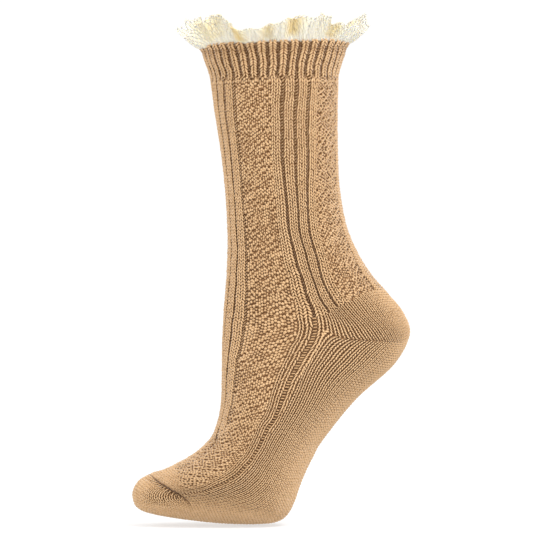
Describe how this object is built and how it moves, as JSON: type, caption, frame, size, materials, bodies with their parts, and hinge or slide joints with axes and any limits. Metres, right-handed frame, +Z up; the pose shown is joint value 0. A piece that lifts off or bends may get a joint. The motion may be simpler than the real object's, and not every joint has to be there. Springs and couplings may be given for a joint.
{
  "type": "lace-topped rib crew sock",
  "caption": "Knitted crew sock with a rib cuff, rib and textured panels, turned heel, linked toe and a gathered lace ruffle, filled out in a tiptoe pose.",
  "frame": {"origin": "the middle of the rib cuff, where the wearer's leg holds the sock up", "axes": "+Z up the leg, +X towards the heel with the toe at -X, +Y across the foot; the pictured side faces -Y"},
  "size_m": [0.1692, 0.1051, 0.3118],
  "materials": {
    "knit": "matt cotton knit, tan",
    "lace": "matt cotton lace, cream"
  },
  "bodies": {
    "root": {"rib_cuff": "knit", "leg": "knit", "ankle": "knit", "heel": "knit", "arch": "knit", "foot": "knit", "toe": "knit", "lace_ruffle": "lace"}
  },
  "joints": []
}
